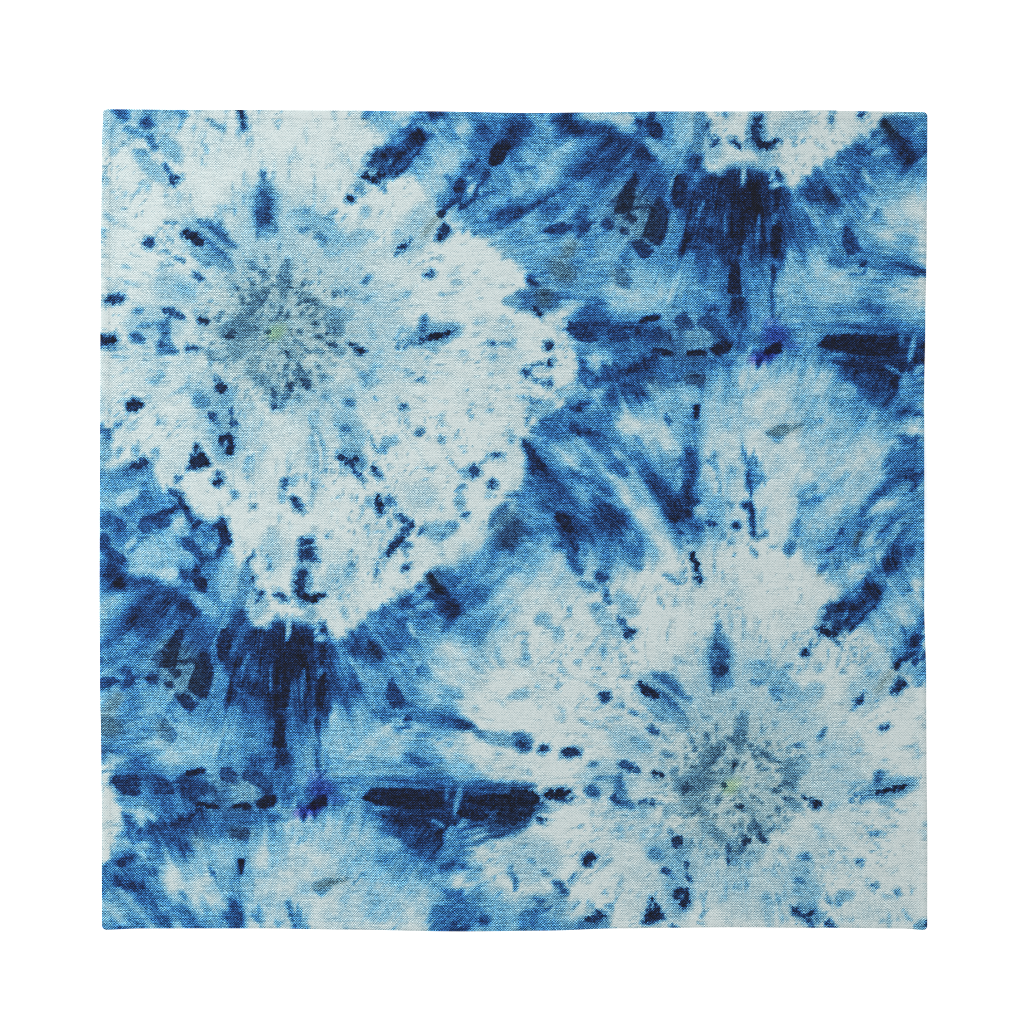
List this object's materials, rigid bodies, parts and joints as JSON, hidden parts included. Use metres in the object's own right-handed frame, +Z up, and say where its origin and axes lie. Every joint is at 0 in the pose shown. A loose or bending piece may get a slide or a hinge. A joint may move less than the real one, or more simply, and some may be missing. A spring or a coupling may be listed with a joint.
{
  "type": "bandana",
  "caption": "Square cotton bandana with a narrow turned hem and indigo tie-dye sunbursts, laid out flat with its face up.",
  "frame": {"origin": "centre of the underside, on the surface that the cloth lies on", "axes": "+X to the right and +Y to the top of the cloth as seen from above its dyed face, +Z up out of that face"},
  "size_m": [0.5612, 0.5574, 0.0042],
  "materials": {
    "dyed_cotton": "matte plain-weave cotton, dyed in uneven indigo"
  },
  "bodies": {
    "root": {"bandana_cloth": "dyed_cotton"}
  },
  "joints": []
}
